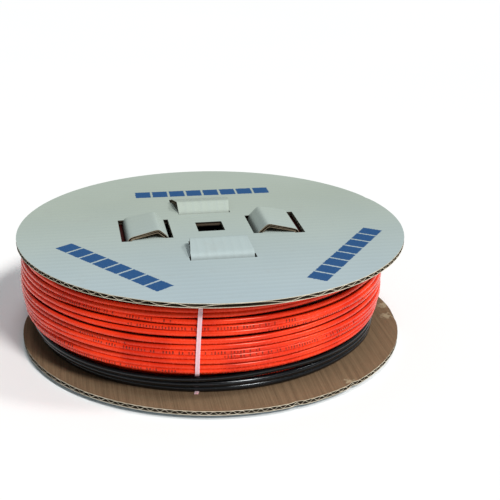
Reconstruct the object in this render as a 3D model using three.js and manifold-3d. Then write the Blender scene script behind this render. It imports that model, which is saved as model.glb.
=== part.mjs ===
// Reel of electric heating cable, in millimetres, +Z up.
// The origin is the centre of the underside the reel stands on.
import * as THREE from "three";
import { mergeVertices } from "three/addons/utils/BufferGeometryUtils.js";
import Module from "manifold-3d";

// Fluted board, one sheet of which makes each flange and one the core
const boardThickness = 4;
const linerThickness = 0.4;
const flutePitch = 7.8;
const fluteWideHalf = 2.95;
const fluteNarrowHalf = 0.6;
const fluteCrestThickness = 0.7;

// Reel
const flangeRadius = 180;
const flangeGap = 92;
const spindleHoleSide = 25;
const coreAcrossFlats = 160;
const clearance = 0.3;
const flangeSegments = 72;

// Tongues of the core, folded through the slots of the flanges
const tongueRootWidth = 56;
const tongueTipWidth = 48;
const outerSlotInside = 75.3;
const outerSlotOutside = 84.8;
const outerSlotLength = 59;
const innerSlotInside = 37.2;
const innerSlotOutside = 45.6;
const innerSlotLength = 50.5;

// Centre line of a tongue: distance from the axis, height over the face it folds onto, thickness
const topTongueLine = [
  [78, -30, 4],
  [78, -4, 4],
  [77.9, -1.2, 3.6],
  [76.9, 1.2, 3],
  [74.6, 2.3, 2.8],
  [52.4, 6.8, 3.2],
  [50.2, 6.6, 3.2],
  [42.8, -0.2, 2.8],
  [41, -9, 2.8],
];
const bottomTongueLine = [
  [78, -34, 4],
  [78, -0.1, 4],
  [77.3, 1.6, 4],
  [75.6, 2.3, 4],
  [43.5, 2.3, 4],
  [41.6, 1.4, 4],
  [41, -0.7, 4],
  [40.6, -10.7, 4],
];

// Heating cable
const cableRadius = 2.5;
const cableRows = 18;
const windingPlay = 0.4;
const windingRadius = 170;
const bulgeRow = 10.5;
const bulgeDepth = 6;
const bulgeHalfRows = 7.1;
const shoulderRow = 4;
const shoulderInset = 9.2;
const endGrooveDepth = 1;
const windingSegments = 40;
const hugDepth = 40;

// Cold lead, the plain supply cable wound round the foot of the heating cable
const leadRadius = 3;
const leadRows = 3;
const leadPitch = 5.3;
const leadInset = 14;
const leadLean = 2.6;

// How far the turns sit off the middle of the reel
const upperDrift = new THREE.Vector2(-8.9, 1.3);
const lowerDrift = new THREE.Vector2(-7.7, 13.2);
const driftBlendHeight = 12;

// Nylon strap round the winding
const strapThickness = 1;
const strapWidth = 3.6;
const strapAzimuth = THREE.MathUtils.degToRad(-98.6);
const strapLean = THREE.MathUtils.degToRad(0.019);
const strapCoreGap = 1.9;
const strapTailReach = 6.5;

// Levels
const bottomFlangeBase = boardThickness + clearance;
const windingFloor = bottomFlangeBase + boardThickness;
const windingCeiling = windingFloor + flangeGap;
const coreApothem = coreAcrossFlats / 2;
const boreApothem = coreApothem + clearance;
const boreRadius = boreApothem / Math.cos(Math.PI / 8);
const rowPitch = (flangeGap - 2 * windingPlay) / cableRows;
const windingBase = windingFloor + windingPlay;
const leadBase = windingFloor + clearance;
const leadTop = leadBase + 2 * leadRadius + (leadRows - 1) * leadPitch;
const strapBoreRadius = coreApothem + strapCoreGap;
const leadStrapRoom = strapThickness + 2 * clearance;

const wasm = await Module();
wasm.setup();

// A closed geometry as a solid for joining and cutting
function solid(geometry) {
  const bare = geometry.clone();
  bare.deleteAttribute("normal");
  bare.deleteAttribute("uv");
  const merged = mergeVertices(bare, 1e-4);
  return new wasm.Manifold(
    new wasm.Mesh({
      numProp: 3,
      vertProperties: new Float32Array(merged.attributes.position.array),
      triVerts: new Uint32Array(merged.index.array),
    }),
  );
}

function geometryOf(body) {
  const mesh = body.getMesh();
  const geometry = new THREE.BufferGeometry();
  geometry.setAttribute("position", new THREE.BufferAttribute(mesh.vertProperties, 3));
  geometry.setIndex(new THREE.BufferAttribute(mesh.triVerts, 1));
  geometry.computeVertexNormals();
  return geometry;
}

function box(lowX, highX, lowY, highY, lowZ, highZ) {
  const geometry = new THREE.BoxGeometry(highX - lowX, highY - lowY, highZ - lowZ);
  geometry.translate((lowX + highX) / 2, (lowY + highY) / 2, (lowZ + highZ) / 2);
  return solid(geometry);
}

function shapeOf(points) {
  return new THREE.Shape(points.map(([x, y]) => new THREE.Vector2(x, y)));
}

function extrude(shape, depth) {
  const geometry = new THREE.ExtrudeGeometry(shape, { depth, bevelEnabled: false, steps: 1 });
  geometry.translate(0, 0, -depth / 2);
  return geometry;
}

// Stands a flat section up: its first axis stays X, its second becomes Z
function standUp(geometry) {
  geometry.rotateX(Math.PI / 2);
  return geometry;
}

// Turns a profile of radius and height, given anticlockwise, round the Z axis
function turned(profile, segments, phase) {
  const points = profile.map(([radius, height]) => new THREE.Vector2(radius, height));
  points.push(points[0].clone());
  const geometry = new THREE.LatheGeometry(points, segments, phase);
  geometry.rotateX(Math.PI / 2);
  return geometry;
}

function smoothStep(value) {
  const t = THREE.MathUtils.clamp(value, 0, 1);
  return t * t * (3 - 2 * t);
}

// Radius of the octagonal bore at an angle, flats facing X and Y
function octagonRadius(angle, apothem) {
  const step = Math.PI / 4;
  const fromFlat = angle - step * Math.round(angle / step);
  return apothem / Math.cos(fromFlat);
}

// Lays turns as they lie on the reel: octagonal on the core, rounder and further off centre outwards
function settle(geometry, hugsCore) {
  const position = geometry.attributes.position;
  for (let i = 0; i < position.count; i += 1) {
    const x = position.getX(i);
    const y = position.getY(i);
    const radius = Math.hypot(x, y);
    const angle = Math.atan2(y, x);
    const outward = THREE.MathUtils.clamp((radius - boreRadius) / (windingRadius - boreRadius), 0, 1);
    const hug = hugsCore ? THREE.MathUtils.clamp(1 - (radius - boreRadius) / hugDepth, 0, 1) : 0;
    const laid = radius - hug * (boreRadius - octagonRadius(angle, boreApothem));
    const rise = smoothStep((position.getZ(i) - leadTop) / driftBlendHeight);
    const driftX = THREE.MathUtils.lerp(lowerDrift.x, upperDrift.x, rise);
    const driftY = THREE.MathUtils.lerp(lowerDrift.y, upperDrift.y, rise);
    position.setX(i, Math.cos(angle) * laid + outward * driftX);
    position.setY(i, Math.sin(angle) * laid + outward * driftY);
  }
  return geometry;
}

// Fluted disc with its flutes along X, its underside at height zero
function flutedDisc() {
  const halfPitch = flutePitch / 2;
  const flutes = Math.floor((flangeRadius - fluteWideHalf - 1) / halfPitch);
  const inset = linerThickness + fluteCrestThickness;
  const channels = [];
  for (let i = -flutes; i <= flutes; i += 1) {
    const opensDown = i % 2 === 0;
    const wide = opensDown ? linerThickness : boardThickness - linerThickness;
    const narrow = opensDown ? boardThickness - inset : inset;
    const section = [
      [-fluteWideHalf, wide],
      [fluteWideHalf, wide],
      [fluteNarrowHalf, narrow],
      [-fluteNarrowHalf, narrow],
    ];
    const channel = standUp(extrude(shapeOf(section), 2 * flangeRadius + 4));
    channel.rotateZ(Math.PI / 2);
    channel.translate(0, i * halfPitch, 0);
    channels.push(solid(channel));
  }
  const round = new THREE.CylinderGeometry(flangeRadius, flangeRadius, boardThickness, flangeSegments);
  round.rotateX(Math.PI / 2);
  round.translate(0, 0, boardThickness / 2);
  return solid(round).subtract(wasm.Manifold.union(channels));
}

function flangeCuts() {
  const half = spindleHoleSide / 2;
  const low = -1;
  const high = boardThickness + 1;
  const cuts = [box(-half, half, -half, half, low, high)];
  const outer = outerSlotLength / 2;
  const inner = innerSlotLength / 2;
  for (let quarter = 0; quarter < 4; quarter += 1) {
    const outerSlot = box(outerSlotInside, outerSlotOutside, -outer, outer, low, high);
    const innerSlot = box(innerSlotInside, innerSlotOutside, -inner, inner, low, high);
    cuts.push(outerSlot.rotate([0, 0, 90 * quarter]));
    cuts.push(innerSlot.rotate([0, 0, 90 * quarter]));
  }
  return wasm.Manifold.union(cuts);
}

function flange(base, quarterTurn) {
  const disc = flutedDisc().rotate([0, 0, quarterTurn ? 90 : 0]);
  return disc.subtract(flangeCuts()).translate([0, 0, base]);
}

// Outline of a bent strip of board from its centre line, mitred at each bend
function stripOutline(line) {
  const left = [];
  const right = [];
  const points = line.map(([x, y]) => new THREE.Vector2(x, y));
  points.forEach((point, i) => {
    const before = points[Math.max(i - 1, 0)];
    const after = points[Math.min(i + 1, points.length - 1)];
    const inward = (i === 0 ? after.clone().sub(point) : point.clone().sub(before)).normalize();
    const onward = (i === points.length - 1 ? inward.clone() : after.clone().sub(point)).normalize();
    const normalIn = new THREE.Vector2(-inward.y, inward.x);
    const normalOn = new THREE.Vector2(-onward.y, onward.x);
    const mitre = normalIn.clone().add(normalOn).multiplyScalar(1 / (1 + normalIn.dot(normalOn)));
    mitre.multiplyScalar(line[i][2] / 2);
    left.push([point.x + mitre.x, point.y + mitre.y]);
    right.unshift([point.x - mitre.x, point.y - mitre.y]);
  });
  return left.concat(right);
}

// A tongue folded along X, tapered from its root to its tip
function tongue(line, sign, base) {
  const outline = stripOutline(line);
  const placed = outline.map(([x, height]) => [x, base + sign * height]);
  const geometry = standUp(extrude(shapeOf(placed), tongueRootWidth));
  const position = geometry.attributes.position;
  const taper = tongueTipWidth / tongueRootWidth;
  for (let i = 0; i < position.count; i += 1) {
    const along = (position.getX(i) - innerSlotInside) / (outerSlotInside - innerSlotInside);
    const share = THREE.MathUtils.clamp(along, 0, 1);
    position.setY(i, position.getY(i) * THREE.MathUtils.lerp(taper, 1, share));
  }
  return solid(geometry);
}

function octagon(apothem) {
  const radius = apothem / Math.cos(Math.PI / 8);
  const points = [];
  for (let i = 0; i < 8; i += 1) {
    const angle = Math.PI / 8 + (i * Math.PI) / 4;
    points.push([radius * Math.cos(angle), radius * Math.sin(angle)]);
  }
  return points;
}

function core() {
  const low = windingFloor + clearance;
  const high = windingCeiling - clearance;
  const ring = shapeOf(octagon(coreApothem));
  const inside = octagon(coreApothem - boardThickness);
  ring.holes.push(new THREE.Path(inside.map(([x, y]) => new THREE.Vector2(x, y))));
  const wall = extrude(ring, high - low);
  wall.translate(0, 0, (low + high) / 2);
  const pieces = [solid(wall)];
  const topFace = windingCeiling + boardThickness;
  for (let quarter = 0; quarter < 4; quarter += 1) {
    const turn = [0, 0, 90 * quarter];
    pieces.push(tongue(topTongueLine, 1, topFace).rotate(turn));
    pieces.push(tongue(bottomTongueLine, -1, bottomFlangeBase).rotate(turn));
  }
  return wasm.Manifold.union(pieces);
}

function leadTurnRadius(turn) {
  return windingRadius - leadInset + leadLean * turn;
}

function rowHeight(row) {
  return windingBase + (row + 0.5) * rowPitch;
}

// Radius of the middle of the outermost turn in a row
function rowTurnRadius(row) {
  if (row < shoulderRow) {
    const turn = (rowHeight(row) - leadBase - leadRadius) / leadPitch;
    return leadTurnRadius(turn) - leadRadius - leadStrapRoom - cableRadius;
  }
  if (row === shoulderRow) {
    return windingRadius - shoulderInset - cableRadius;
  }
  const fromBulge = (row - bulgeRow) / bulgeHalfRows;
  return windingRadius - cableRadius - bulgeDepth * fromBulge * fromBulge;
}

// Rounded backs of the turns on an end face, from the bore outwards
function endTurns(outerRadius, face, inward) {
  const turns = Math.round((outerRadius - boreRadius) / rowPitch);
  const width = (outerRadius - boreRadius) / turns;
  const points = [[boreRadius, face + inward * endGrooveDepth]];
  for (let i = 0; i < turns; i += 1) {
    const start = boreRadius + i * width;
    points.push([start + 0.5 * width, face]);
    if (i < turns - 1) {
      points.push([start + width, face + inward * endGrooveDepth]);
    }
  }
  return points;
}

function heatingCableProfile() {
  const spread = THREE.MathUtils.degToRad(50);
  const outside = [];
  for (let row = 0; row < cableRows; row += 1) {
    for (const angle of [-spread, 0, spread]) {
      const radius = rowTurnRadius(row) + cableRadius * Math.cos(angle);
      outside.push([radius, rowHeight(row) + cableRadius * Math.sin(angle)]);
    }
  }
  const top = windingBase + cableRows * rowPitch;
  const below = endTurns(rowTurnRadius(0) + cableRadius * 0.2, windingBase, 1);
  const above = endTurns(rowTurnRadius(cableRows - 1) + cableRadius * 0.2, top, -1);
  return below.concat(outside, above.reverse());
}

function leadProfile() {
  const points = [];
  const inside = [];
  const join = Math.atan2(leadLean, leadPitch);
  const half = Math.acos(Math.hypot(leadLean, leadPitch) / 2 / leadRadius);
  for (let row = 0; row < leadRows; row += 1) {
    const height = leadBase + leadRadius + row * leadPitch;
    const start = row === 0 ? -Math.PI / 2 : half - Math.PI / 2 - join;
    const end = row === leadRows - 1 ? Math.PI / 2 : Math.PI / 2 - join - half;
    for (let step = 0; step <= 4; step += 1) {
      const angle = THREE.MathUtils.lerp(start, end, step / 4);
      const radius = leadTurnRadius(row) + leadRadius * Math.cos(angle);
      points.push([radius, height + leadRadius * Math.sin(angle)]);
    }
    const innerStart = row === 0 ? Math.PI * 1.5 : Math.PI * 1.5 - join - half;
    const innerEnd = row === leadRows - 1 ? Math.PI / 2 : Math.PI / 2 - join + half;
    for (let step = 1; step <= 3; step += 1) {
      const angle = THREE.MathUtils.lerp(innerStart, innerEnd, step / 4);
      const radius = leadTurnRadius(row) + leadRadius * Math.cos(angle);
      inside.unshift([radius, height + leadRadius * Math.sin(angle)]);
    }
  }
  const distinct = points.filter((point, i) => {
    const last = points[i - 1];
    return i === 0 || Math.hypot(point[0] - last[0], point[1] - last[1]) > 0.01;
  });
  return distinct.concat(inside);
}

// Points of a taut band round the given ones, anticlockwise
function tautRound(points) {
  const sorted = [...points].sort((a, b) => a[0] - b[0] || a[1] - b[1]);
  const turns = (a, b, c) => (b[0] - a[0]) * (c[1] - a[1]) - (b[1] - a[1]) * (c[0] - a[0]);
  const chain = (list) => {
    const kept = [];
    for (const point of list) {
      while (kept.length > 1 && turns(kept[kept.length - 2], kept[kept.length - 1], point) <= 1e-6) {
        kept.pop();
      }
      kept.push(point);
    }
    kept.pop();
    return kept;
  };
  return chain(sorted).concat(chain([...sorted].reverse()));
}

// Turns a piece of the strap to its place, leaning sideways over its height
function swing(geometry) {
  const position = geometry.attributes.position;
  const middle = (windingFloor + windingCeiling) / 2;
  for (let i = 0; i < position.count; i += 1) {
    const angle = strapAzimuth + strapLean * (position.getZ(i) - middle);
    const x = position.getX(i);
    const y = position.getY(i);
    position.setX(i, Math.cos(angle) * x - Math.sin(angle) * y);
    position.setY(i, Math.sin(angle) * x + Math.cos(angle) * y);
  }
  return geometry;
}

// Section of a band drawn tight over the outer turns, standing off them by a distance
function bandSection(standOff, coreSide, low, high) {
  const points = [
    [coreSide, low],
    [coreSide, high],
  ];
  for (let row = 0; row < cableRows; row += 1) {
    for (const degrees of [-60, -30, 0, 30, 60]) {
      const angle = THREE.MathUtils.degToRad(degrees);
      const radius = rowTurnRadius(row) + (cableRadius + standOff) * Math.cos(angle);
      const height = rowHeight(row) + (cableRadius + standOff) * Math.sin(angle);
      points.push([radius, THREE.MathUtils.clamp(height, low, high)]);
    }
  }
  return tautRound(points);
}

function band(outer, inner, width) {
  const shape = shapeOf(outer);
  shape.holes.push(new THREE.Path(inner.map(([x, y]) => new THREE.Vector2(x, y))));
  return solid(settle(swing(standUp(extrude(shape, width))), false));
}

// The loop of the strap and its loose end, grown all round by a margin
function strapBody(margin) {
  const low = windingFloor + clearance;
  const high = windingCeiling - clearance;
  const side = strapBoreRadius;
  const thick = strapThickness;
  const outerSide = bandSection(clearance + thick + margin, side - margin, low - margin, high + margin);
  const innerSide = bandSection(
    clearance - margin,
    side + thick + margin,
    low + thick + margin,
    high - thick - margin,
  );
  const width = strapWidth + 2 * margin;
  const loop = band(outerSide, innerSide, width);
  const tailStart = rowTurnRadius(0);
  const tailEnd = leadTurnRadius(0) + strapTailReach + margin;
  const tail = new THREE.BoxGeometry(tailEnd - tailStart, width, thick + 2 * margin);
  tail.translate((tailStart + tailEnd) / 2, 0, low + thick / 2);
  return loop.add(solid(settle(swing(tail), false)));
}

function coreMaterial() {
  return new THREE.MeshStandardMaterial({ color: 0xb49a7c, roughness: 0.9 });
}

const windingPhase = Math.PI / 2 + Math.PI / windingSegments;
const strapRoom = strapBody(clearance);
const winding = solid(settle(turned(heatingCableProfile(), windingSegments, windingPhase), true));
const lead = solid(settle(turned(leadProfile(), windingSegments, windingPhase), false));

const pieces = [
  ["core", core(), coreMaterial()],
  ["bottom_flange", flange(bottomFlangeBase, true), coreMaterial()],
  ["top_flange", flange(windingCeiling, false), coreMaterial()],
  [
    "heating_cable",
    winding.subtract(strapRoom),
    new THREE.MeshStandardMaterial({ color: 0xe02a14, roughness: 0.4 }),
  ],
  [
    "cold_lead",
    lead.subtract(strapRoom),
    new THREE.MeshStandardMaterial({ color: 0x15171a, roughness: 0.35 }),
  ],
  ["strap", strapBody(0), new THREE.MeshStandardMaterial({ color: 0xf2e6ea, roughness: 0.5 })],
];

const reel = new THREE.Group();
for (const [name, body, material] of pieces) {
  const mesh = new THREE.Mesh(geometryOf(body), material);
  mesh.name = name;
  reel.add(mesh);
}

export default reel;
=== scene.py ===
"""A reel of heating cable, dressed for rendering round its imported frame.

Lengths are in millimetres until a mesh is made. Blender's own units are metres, and so are
the sizes inside the materials.
"""

import math

import bmesh
import bpy
from mathutils import Matrix, Vector, noise


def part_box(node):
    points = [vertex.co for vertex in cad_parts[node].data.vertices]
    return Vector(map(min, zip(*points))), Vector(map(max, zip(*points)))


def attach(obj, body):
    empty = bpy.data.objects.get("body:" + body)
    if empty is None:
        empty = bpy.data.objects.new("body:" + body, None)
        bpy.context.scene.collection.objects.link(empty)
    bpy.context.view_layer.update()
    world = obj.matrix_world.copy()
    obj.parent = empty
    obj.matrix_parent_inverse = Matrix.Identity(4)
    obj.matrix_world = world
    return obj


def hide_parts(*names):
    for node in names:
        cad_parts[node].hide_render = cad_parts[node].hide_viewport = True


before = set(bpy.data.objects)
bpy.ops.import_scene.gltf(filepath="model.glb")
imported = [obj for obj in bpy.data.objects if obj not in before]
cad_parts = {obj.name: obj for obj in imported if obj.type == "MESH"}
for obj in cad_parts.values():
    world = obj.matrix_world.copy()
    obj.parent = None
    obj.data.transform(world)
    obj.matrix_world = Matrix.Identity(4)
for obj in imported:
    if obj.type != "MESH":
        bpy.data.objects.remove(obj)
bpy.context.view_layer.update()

MM = 0.001

# Fluted board
BOARD = 4.0
LINER = 0.5
MEDIUM = 0.42
FLUTE_PITCH = 7.8
RIM_STEPS = 360
RIM_INSET = 0.25
RIM_WANDER = 0.2
MEDIUM_INSET = 0.45
# Cut edges nearer the rim than this are pale and lit; those further in are walls of slots, given a
# near-black copy of the cut paper as painted shade
RIM_DEPTH = 5.0
# Dents in the rims: azimuth in degrees, width, depth
BOTTOM_WEAR = ((-55.3, 4.0, 1.6), (-74.5, 5.0, 1.4), (-6.0, 9.0, 1.3))
TOP_WEAR = ((-120.0, 6.0, 0.5), (20.0, 5.0, 0.7))
# Places of a board's papers in its list of materials
FACE, BACK, INSIDE, EDGE, SLOT = range(5)

# Tongues of the core, as in the solids
TONGUE_ROOT_WIDTH = 56.0
TONGUE_TIP_WIDTH = 48.0
OUTER_SLOT = (75.3, 84.8, 59.0)
INNER_SLOT = (37.2, 45.6, 50.5)
SPINDLE_HOLE = 25.0
CORE_ACROSS_FLATS = 160.0
# Distance from the axis, height over the face it folds onto, thickness
TOP_TONGUE = [
    (78, -30, 4),
    (78, -4, 4),
    (77.9, -1.2, 3.6),
    (76.9, 1.2, 3),
    (74.6, 2.3, 2.8),
    (52.4, 6.8, 3.2),
    (50.2, 6.6, 3.2),
    (42.8, -0.2, 2.8),
    (41, -9, 2.8),
]
BOTTOM_TONGUE = [
    (78, -34, 4),
    (78, -0.1, 4),
    (77.3, 1.6, 4),
    (75.6, 2.3, 4),
    (43.5, 2.3, 4),
    (41.6, 1.4, 4),
    (41, -0.7, 4),
    (40.6, -10.7, 4),
]
# The most that is cut off beside a corner when a fold is rounded
CORNER_CUT = 1.2
TONGUE_LANES = 28
TONGUE_FRAY = 0.5

# Heating cable
CABLE_RADIUS = 2.5
CABLE_ROWS = 18
WINDING_PLAY = 0.4
WINDING_RADIUS = 170.0
BULGE_ROW = 10.5
BULGE_DEPTH = 6.0
BULGE_HALF_ROWS = 7.1
SHOULDER_ROW = 4
SHOULDER_INSET = 9.2
# How far inside the outermost turns the next layer's turns lie
NEST_DEPTH = 4.7
# How far inside the ribs of the solid the outermost layer runs
RUN_INSET = 0.3

# Cold lead
LEAD_RADIUS = 3.0
LEAD_TURNS = 3
# How far the lead goes on past its whole turns, as a share of a turn
LEAD_LAP = 0.1
LEAD_PITCH = 5.3
LEAD_INSET = 14.0
LEAD_LEAN = 2.6

# How far the turns sit off the middle of the reel
UPPER_DRIFT = Vector((-8.9, 1.3))
LOWER_DRIFT = Vector((-7.7, 13.2))
DRIFT_BLEND = 12.0
HUG_DEPTH = 40.0

# Strap
STRAP_THICKNESS = 1.0
STRAP_WIDTH = 3.6
STRAP_BEVEL = 0.28
STRAP_DISH = 0.12
STRAP_STEP = 2.5
STRAP_AZIMUTH = math.radians(-98.6)
STRAP_LEAN = math.radians(0.019)
STRAP_CORE_GAP = 1.9
STRAP_TAIL_REACH = 6.5
STRAP_TAIL_STEPS = 6
CLEARANCE = 0.3

# Levels and radii read from the frame
flange_low, flange_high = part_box("top_flange")
FLANGE_RADIUS = (flange_high.x - flange_low.x) / 2 / MM
TOP_BASE = flange_low.z / MM
TOP_FACE = flange_high.z / MM
BOTTOM_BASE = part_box("bottom_flange")[0].z / MM
FLOOR_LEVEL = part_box("bottom_flange")[1].z / MM
CEILING = TOP_BASE

CORE_APOTHEM = CORE_ACROSS_FLATS / 2
BORE_APOTHEM = CORE_APOTHEM + CLEARANCE
BORE_RADIUS = BORE_APOTHEM / math.cos(math.pi / 8)
ROW_PITCH = (CEILING - FLOOR_LEVEL - 2 * WINDING_PLAY) / CABLE_ROWS
WINDING_BASE = FLOOR_LEVEL + WINDING_PLAY
LEAD_BASE = FLOOR_LEVEL + CLEARANCE
LEAD_TOP = LEAD_BASE + 2 * LEAD_RADIUS + (LEAD_TURNS - 1) * LEAD_PITCH
STRAP_LOW = FLOOR_LEVEL + CLEARANCE + STRAP_THICKNESS / 2
STRAP_HIGH = CEILING - CLEARANCE - STRAP_THICKNESS / 2

# Photographed view: the camera's place round the reel, and where its axis meets the image
IMAGE_SIDE = 500
CAMERA_AZIMUTH = math.radians(-8.2)
CAMERA_ELEVATION = math.radians(22.3)
CAMERA_DISTANCE = 1005.0
CAMERA_AIM_HEIGHT = 50.0
CAMERA_AIM = Vector((0.0, 0.0, BOTTOM_BASE + CAMERA_AIM_HEIGHT))
CAMERA_ROLL = math.radians(-0.25)
CAMERA_FOCUS_PIXELS = 1050.0
CAMERA_CENTRE_PIXEL = (210.2, 275.5)

# Lamps: name, azimuth and height in degrees, strength, spread in degrees, colour
SUNS = (
    ("key", 34.0, 44.0, 2.2, 10.0, (1.0, 0.985, 0.96)),
    ("right", 80.0, 46.0, 0.9, 10.0, (1.0, 0.98, 0.95)),
    ("overhead", 10.0, 74.0, 0.9, 20.0, (0.92, 0.97, 1.0)),
)
SKY_COLOUR = (0.92, 0.97, 1.0, 1.0)
SKY_STRENGTH = 0.18
FLOOR_REACH = 30000.0
FLOOR_DROP = 0.1


# Geometry helpers


def clamp(value, low=0.0, high=1.0):
    return max(low, min(high, value))


def lerp(a, b, share):
    return a + (b - a) * share


def smooth_step(value):
    t = clamp(value)
    return t * t * (3 - 2 * t)


def polar(radius, angle):
    return Vector((radius * math.cos(angle), radius * math.sin(angle)))


def around(azimuth, middle):
    """Signed angle from middle to azimuth, the short way."""
    return (azimuth - middle + math.pi) % (2 * math.pi) - math.pi


def grain(x, y, z):
    """Smooth noise between about -1 and 1, the same on every run."""
    return noise.noise(Vector((x, y, z)))


def add_mesh(name, vertices, faces, materials, face_materials=None, smooth=True, uvs=None):
    """Makes an object from millimetre vertices; uvs holds one pair for each face corner."""
    mesh = bpy.data.meshes.new(name)
    mesh.from_pydata([tuple(c * MM for c in v) for v in vertices], [], faces)
    for material in materials:
        mesh.materials.append(material)
    if face_materials:
        mesh.polygons.foreach_set("material_index", face_materials)
    mesh.polygons.foreach_set("use_smooth", [smooth] * len(mesh.polygons))
    if uvs:
        layer = mesh.uv_layers.new(name="lay")
        layer.data.foreach_set("uv", [c for pair in uvs for c in pair])
    mesh.update()
    made = bpy.data.objects.new(name, mesh)
    bpy.context.scene.collection.objects.link(made)
    return made


def dress(piece, slot, *nodes):
    """Rides a piece on the reel, in place of the nodes it stands for."""
    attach(piece, "root")
    if nodes:
        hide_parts(*nodes)


class Build:
    """Collects vertices and faces of one mesh."""

    def __init__(self):
        self.vertices = []
        self.faces = []
        self.kinds = []
        self.uvs = []

    def point(self, x, y, z):
        self.vertices.append((x, y, z))
        return len(self.vertices) - 1

    def face(self, corners, kind=0, uvs=None):
        self.faces.append(corners)
        self.kinds.append(kind)
        self.uvs.extend(uvs or [(0.0, 0.0)] * len(corners))

    def make(self, name, materials, smooth=False):
        return add_mesh(name, self.vertices, self.faces, materials, self.kinds, smooth, self.uvs)


# How the turns lie


def octagon_radius(angle, apothem):
    step = math.pi / 4
    return apothem / math.cos(angle - step * round(angle / step))


def settle(radius, angle, height, hugs_core=False):
    """A point of the mean winding, moved to where it lies on the reel."""
    outward = clamp((radius - BORE_RADIUS) / (WINDING_RADIUS - BORE_RADIUS))
    laid = radius
    if hugs_core:
        hug = clamp(1 - (radius - BORE_RADIUS) / HUG_DEPTH)
        laid -= hug * (BORE_RADIUS - octagon_radius(angle, BORE_APOTHEM))
    rise = smooth_step((height - LEAD_TOP) / DRIFT_BLEND)
    drift = LOWER_DRIFT.lerp(UPPER_DRIFT, rise) * outward
    flat = polar(laid, angle) + drift
    return Vector((flat.x, flat.y, height))


def lead_turn_radius(turn):
    return WINDING_RADIUS - LEAD_INSET + LEAD_LEAN * turn


def row_height(row):
    return WINDING_BASE + (row + 0.5) * ROW_PITCH


def whole_row_radius(row):
    """Radius of the middle of the outermost turn in a whole row."""
    if row < SHOULDER_ROW:
        turn = (row_height(row) - LEAD_BASE - LEAD_RADIUS) / LEAD_PITCH
        room = STRAP_THICKNESS + 2 * CLEARANCE
        return lead_turn_radius(turn) - LEAD_RADIUS - room - CABLE_RADIUS
    if row == SHOULDER_ROW:
        return WINDING_RADIUS - SHOULDER_INSET - CABLE_RADIUS
    from_bulge = (row - BULGE_ROW) / BULGE_HALF_ROWS
    return WINDING_RADIUS - CABLE_RADIUS - BULGE_DEPTH * from_bulge * from_bulge


def row_radius(row):
    low = math.floor(clamp(row, 0, CABLE_ROWS - 1.001))
    share = smooth_step(clamp(row, 0, CABLE_ROWS - 1) - low)
    return lerp(whole_row_radius(low), whole_row_radius(low + 1), share)


# The view


def bearing(azimuth, elevation):
    """Direction from the reel to what looks or shines at it; both angles are 0 at the front."""
    return Vector(
        (
            math.sin(azimuth) * math.cos(elevation),
            -math.cos(azimuth) * math.cos(elevation),
            math.sin(elevation),
        )
    )


def place_camera():
    back = bearing(CAMERA_AZIMUTH, CAMERA_ELEVATION)
    data = bpy.data.cameras.new("camera")
    data.sensor_width = 36.0
    data.lens = CAMERA_FOCUS_PIXELS / IMAGE_SIDE * data.sensor_width
    data.shift_x = (IMAGE_SIDE / 2 - CAMERA_CENTRE_PIXEL[0]) / IMAGE_SIDE
    data.shift_y = (CAMERA_CENTRE_PIXEL[1] - IMAGE_SIDE / 2) / IMAGE_SIDE
    data.clip_start = 0.01
    data.clip_end = 20.0
    camera = bpy.data.objects.new("camera", data)
    bpy.context.scene.collection.objects.link(camera)
    look = (-back).to_track_quat("-Z", "Y").to_matrix().to_4x4()
    place = Matrix.Translation((CAMERA_AIM + back * CAMERA_DISTANCE) * MM)
    camera.matrix_world = place @ look @ Matrix.Rotation(CAMERA_ROLL, 4, "Z")
    bpy.context.scene.camera = camera


def add_sun(name, azimuth, elevation, power, spread, colour):
    """A far lamp; azimuth 0 shines from the photographed front, positive from the right."""
    place = bearing(CAMERA_AZIMUTH + math.radians(azimuth), math.radians(elevation))
    data = bpy.data.lights.new(name, "SUN")
    data.energy = power
    data.angle = math.radians(spread)
    data.color = colour
    light = bpy.data.objects.new(name, data)
    light.location = place * 3
    light.rotation_mode = "QUATERNION"
    light.rotation_quaternion = (-place).to_track_quat("-Z", "Y")
    bpy.context.scene.collection.objects.link(light)


def light_studio():
    for sun in SUNS:
        add_sun(*sun)
    world = bpy.data.worlds.new("studio")
    world.use_nodes = True
    background = world.node_tree.nodes["Background"]
    background.inputs["Color"].default_value = SKY_COLOUR
    background.inputs["Strength"].default_value = SKY_STRENGTH
    scene = bpy.context.scene
    scene.world = world
    scene.view_settings.view_transform = "Standard"
    scene.view_settings.look = "None"


# Materials


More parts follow.
